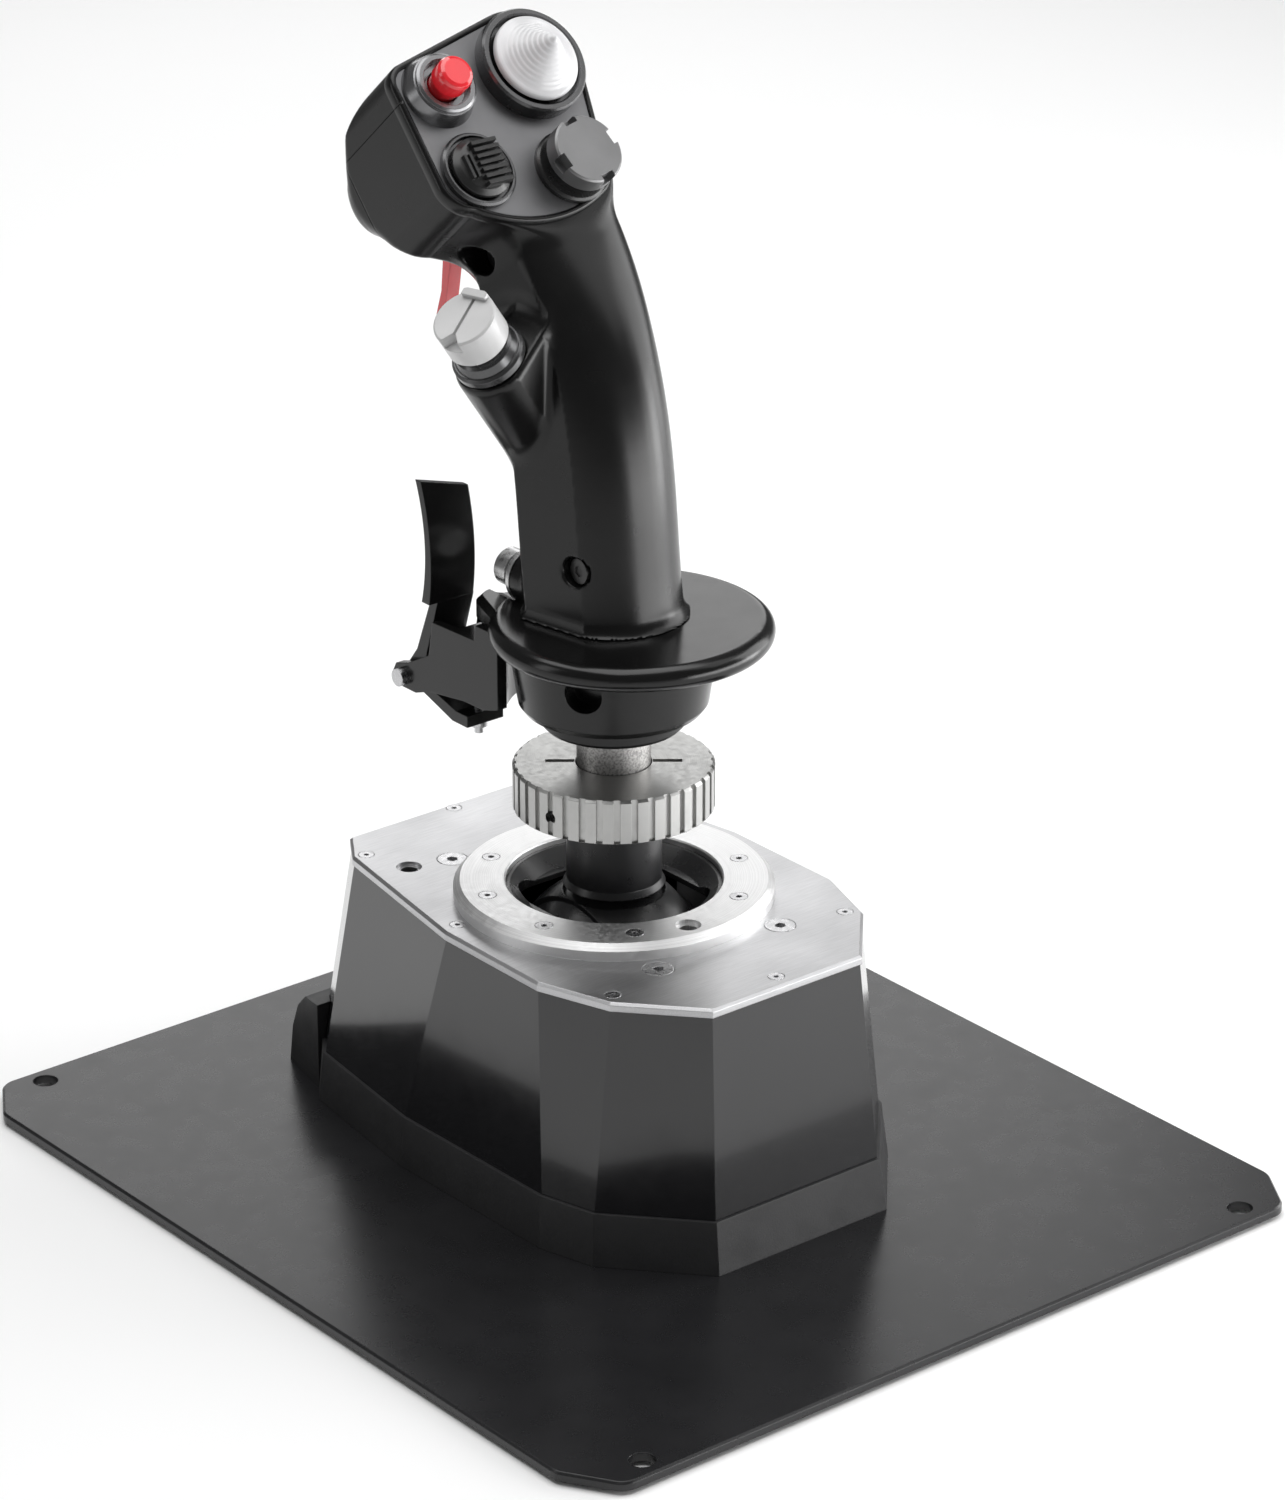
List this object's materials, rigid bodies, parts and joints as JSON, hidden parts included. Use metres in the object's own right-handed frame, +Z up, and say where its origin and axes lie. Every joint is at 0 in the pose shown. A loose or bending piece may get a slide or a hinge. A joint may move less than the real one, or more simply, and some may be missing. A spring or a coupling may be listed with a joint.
{
  "type": "flight joystick",
  "caption": "Desktop flight stick: wide steel base plate, faceted gimbal base with lock nut, and a pilot's grip with hats, trigger and paddle lever.",
  "frame": {"origin": "under the middle of the base plate, on the surface that its pads rest on", "axes": "+X to the pilot's right, +Y forward, +Z up along the stick"},
  "size_m": [0.3, 0.338, 0.3783],
  "materials": {
    "plate_black": "satin powder coat",
    "pad_rubber": "matt",
    "screw_steel": "plain",
    "skirt_plastic": "fine grain",
    "shell_gloss": "piano gloss",
    "brushed_plate": "brushed",
    "bright_ring": "fine turned",
    "well_black": "satin",
    "boot_black": "satin",
    "post_black": "satin",
    "nut_metal": "turned",
    "stem_metal": "bead blasted",
    "grip_black": "gloss black coat",
    "face_black": "satin black coat",
    "trim_silver": "satin silver",
    "gunmetal": "dark anodised",
    "hat_black": "satin",
    "red_plastic": "gloss",
    "grey_plastic": "satin",
    "inner_steel": "machined",
    "cast_frame": "as cast",
    "bushing_brass": "turned",
    "board_green": "solder mask",
    "switch_black": "moulded",
    "lead_black": "matt",
    "socket_steel": "plain"
  },
  "bodies": {
    "base": {"base_plate": "plate_black", "base_screws": "screw_steel", "rubber_pads": "pad_rubber", "lower_skirt": "skirt_plastic", "base_pan": "cast_frame", "faceted_shell": "shell_gloss", "top_plate": "brushed_plate", "top_plate_screws": "screw_steel", "tower_screws": "screw_steel", "gimbal_ring": "bright_ring", "gimbal_ring_screws": "screw_steel", "gimbal_bezel": "well_black", "gimbal_tower": "cast_frame", "pitch_bearings": "inner_steel", "pitch_sensor": "board_green", "main_board": "board_green", "usb_socket": "socket_steel", "pitch_spring": "inner_steel"},
    "yoke": {"pitch_yoke": "inner_steel", "roll_bushings": "bushing_brass", "roll_sensor": "board_green", "roll_spring": "inner_steel"},
    "stick": {"stick_post": "post_black", "roll_axle": "inner_steel", "boot_dome": "boot_black", "signal_lead": "lead_black", "grip_stem": "stem_metal", "grip_hub": "grip_black", "hand_rest": "grip_black", "hinge_pins": "inner_steel", "grip_body": "grip_black", "head_cover": "grip_black", "face_plate": "face_black", "trim_ring": "gunmetal", "ridge_bezel": "gunmetal", "castle_bezel": "hat_black", "button_collar": "gunmetal", "side_bezel": "gunmetal", "silver_bezel": "nut_metal", "hat_switches": "switch_black", "push_switches": "switch_black", "grip_board": "board_green", "grip_screws": "screw_steel"},
    "nut_carrier": {"thrust_washer": "inner_steel"},
    "nut": {"lock_nut": "nut_metal", "nut_set_screw": "screw_steel"},
    "trim_frame": {"trim_cross": "inner_steel"},
    "trim": {"trim_hat": "trim_silver"},
    "ridge_frame": {"ridge_cross": "inner_steel"},
    "ridge": {"ridge_cap": "hat_black"},
    "castle_frame": {"castle_cross": "inner_steel"},
    "castle": {"castle_hat": "hat_black"},
    "side_push": {"side_plunger": "inner_steel"},
    "side_frame": {"side_cross": "inner_steel"},
    "side": {"side_cap": "grey_plastic"},
    "red_push": {"red_button": "red_plastic"},
    "silver_push": {"silver_button": "nut_metal"},
    "trigger_blade": {"trigger": "red_plastic"},
    "paddle": {"paddle_lever": "grip_black", "paddle_screw": "screw_steel"}
  },
  "joints": [
    {"name": "stick_pitch", "type": "hinge", "parent": "base", "child": "yoke", "pos_m": [0, 0.0075, 0.0645], "axis": [1, 0, 0], "range_deg": [-14, 14], "stiffness_Nm_per_rad": 9},
    {"name": "stick_roll", "type": "hinge", "parent": "yoke", "child": "stick", "pos_m": [0, 0.0075, 0.0645], "axis": [0, 1, 0], "range_deg": [-14, 14], "stiffness_Nm_per_rad": 9},
    {"name": "nut_lift", "type": "slide", "parent": "stick", "child": "nut_carrier", "axis": [0, 0, 1], "range_m": [0, 0.0081]},
    {"name": "nut_turn", "type": "hinge", "parent": "nut_carrier", "child": "nut", "pos_m": [0, 0.0075, 0.1315], "axis": [0, 0, 1], "range_deg": [0, 1440]},
    {"name": "trim_pitch", "type": "hinge", "parent": "stick", "child": "trim_frame", "pos_m": [0.0063, 0.05718, 0.36177], "axis": [1, 0, 0], "range_deg": [-6, 6], "stiffness_Nm_per_rad": 0.06},
    {"name": "trim_roll", "type": "hinge", "parent": "trim_frame", "child": "trim", "pos_m": [0.0063, 0.05718, 0.36177], "axis": [0, 0.6691, 0.7431], "range_deg": [-6, 6], "stiffness_Nm_per_rad": 0.06},
    {"name": "ridge_pitch", "type": "hinge", "parent": "stick", "child": "ridge_frame", "pos_m": [-0.0294, 0.03808, 0.33861], "axis": [1, 0, 0], "range_deg": [-6, 6], "stiffness_Nm_per_rad": 0.06},
    {"name": "ridge_roll", "type": "hinge", "parent": "ridge_frame", "child": "ridge", "pos_m": [-0.0294, 0.03808, 0.33861], "axis": [0, 0.6691, 0.7431], "range_deg": [-6, 6], "stiffness_Nm_per_rad": 0.06},
    {"name": "castle_pitch", "type": "hinge", "parent": "stick", "child": "castle_frame", "pos_m": [0.004, 0.0331, 0.33488], "axis": [1, 0, 0], "range_deg": [-7, 7], "stiffness_Nm_per_rad": 0.06},
    {"name": "castle_roll", "type": "hinge", "parent": "castle_frame", "child": "castle", "pos_m": [0.004, 0.0331, 0.33488], "axis": [0, 0.6691, 0.7431], "range_deg": [-7, 7], "stiffness_Nm_per_rad": 0.06},
    {"name": "side_press", "type": "slide", "parent": "stick", "child": "side_push", "axis": [0.598, 0.1495, -0.7874], "range_m": [0, 0.001], "stiffness_N_per_m": 600, "springref_m": -0.002},
    {"name": "side_tilt", "type": "hinge", "parent": "side_push", "child": "side_frame", "pos_m": [-0.04039, 0.01985, 0.28726], "axis": [-0.0001, -0.9824, -0.1866], "range_deg": [-6, 6], "stiffness_Nm_per_rad": 0.06},
    {"name": "side_swing", "type": "hinge", "parent": "side_frame", "child": "side", "pos_m": [-0.04039, 0.01985, 0.28726], "axis": [0.8015, -0.1116, 0.5875], "range_deg": [-6, 6], "stiffness_Nm_per_rad": 0.06},
    {"name": "red_press", "type": "slide", "parent": "stick", "child": "red_push", "axis": [0, 0.7431, -0.6691], "range_m": [0, 0.003], "stiffness_N_per_m": 400, "springref_m": -0.002},
    {"name": "silver_press", "type": "slide", "parent": "stick", "child": "silver_push", "axis": [0, -1, 0], "range_m": [0, 0.003], "stiffness_N_per_m": 400, "springref_m": -0.002},
    {"name": "trigger_pull", "type": "hinge", "parent": "stick", "child": "trigger_blade", "pos_m": [-0.014, 0.07, 0.3075], "axis": [-1, 0, 0], "range_deg": [0, 12], "stiffness_Nm_per_rad": 0.5, "springref_deg": -11.46},
    {"name": "paddle_squeeze", "type": "hinge", "parent": "stick", "child": "paddle", "pos_m": [-0.022, 0.077, 0.157], "axis": [1, 0, 0], "range_deg": [0, 9], "stiffness_Nm_per_rad": 1.2, "springref_deg": -11.46}
  ],
  "couplings": [
    {"joint": "nut_lift", "follows": "nut_turn", "m_per_rad": 0.00031831}
  ]
}
